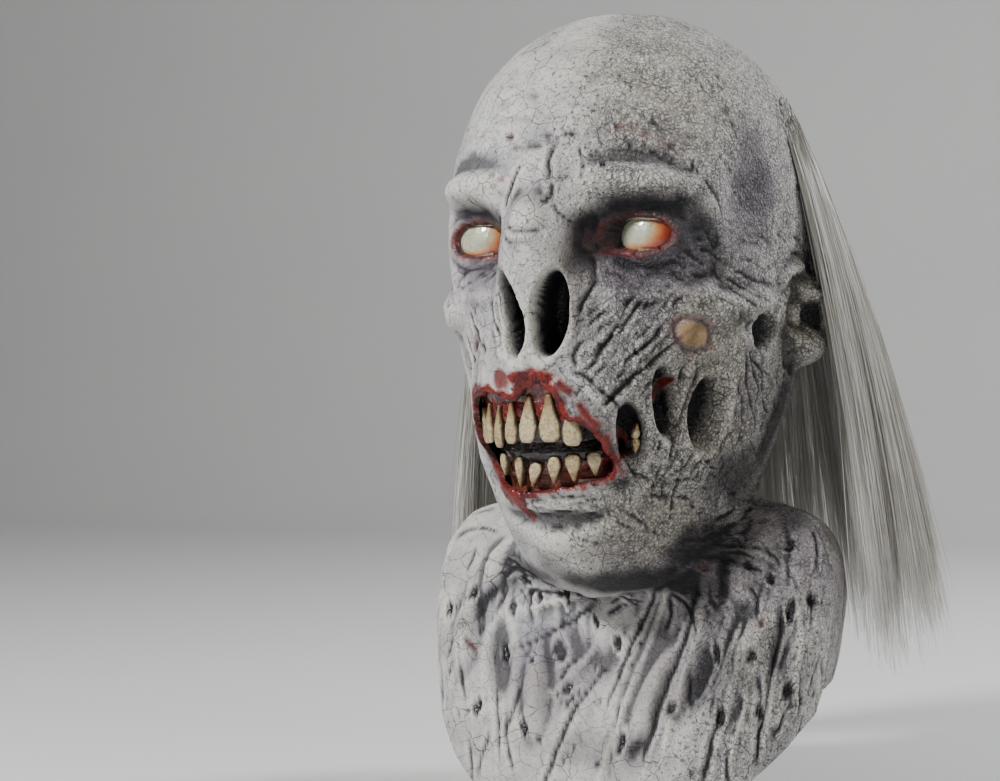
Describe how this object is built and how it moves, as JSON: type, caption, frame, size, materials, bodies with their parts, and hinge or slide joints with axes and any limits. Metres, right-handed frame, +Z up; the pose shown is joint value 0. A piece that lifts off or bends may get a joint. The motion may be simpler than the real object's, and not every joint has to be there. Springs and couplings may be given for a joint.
{
  "type": "zombie mask",
  "caption": "Hollow latex corpse mask with bald head, torn cheek and mouth, set-in eyes and teeth, a bib over the shoulders and long thin hair.",
  "frame": {"origin": "inner top of the crown, where the mask sits on the wearer's head", "axes": "+Z up out of the crown; the face looks along -Y; +X is the mask's own left side"},
  "size_m": [0.2668, 0.2807, 0.4194],
  "materials": {
    "skin": "matte painted latex",
    "eye": "high gloss",
    "mouth": "wet gloss",
    "tooth": "gloss",
    "hair": "soft sheen fibre"
  },
  "bodies": {
    "root": {"skin": "skin", "eye_left": "eye", "eye_right": "eye", "mouth_lining": "mouth", "tooth_upper_01": "tooth", "tooth_upper_02": "tooth", "tooth_upper_03": "tooth", "tooth_upper_04": "tooth", "tooth_upper_05": "tooth", "tooth_upper_06": "tooth", "tooth_upper_07": "tooth", "tooth_lower_01": "tooth", "tooth_lower_02": "tooth", "tooth_lower_03": "tooth", "tooth_lower_04": "tooth", "tooth_lower_05": "tooth", "tooth_lower_06": "tooth", "tooth_lower_07": "tooth", "tooth_window_01": "tooth", "tooth_window_02": "tooth", "hair_left": "hair", "hair_right": "hair", "hair_back": "hair"}
  },
  "joints": []
}
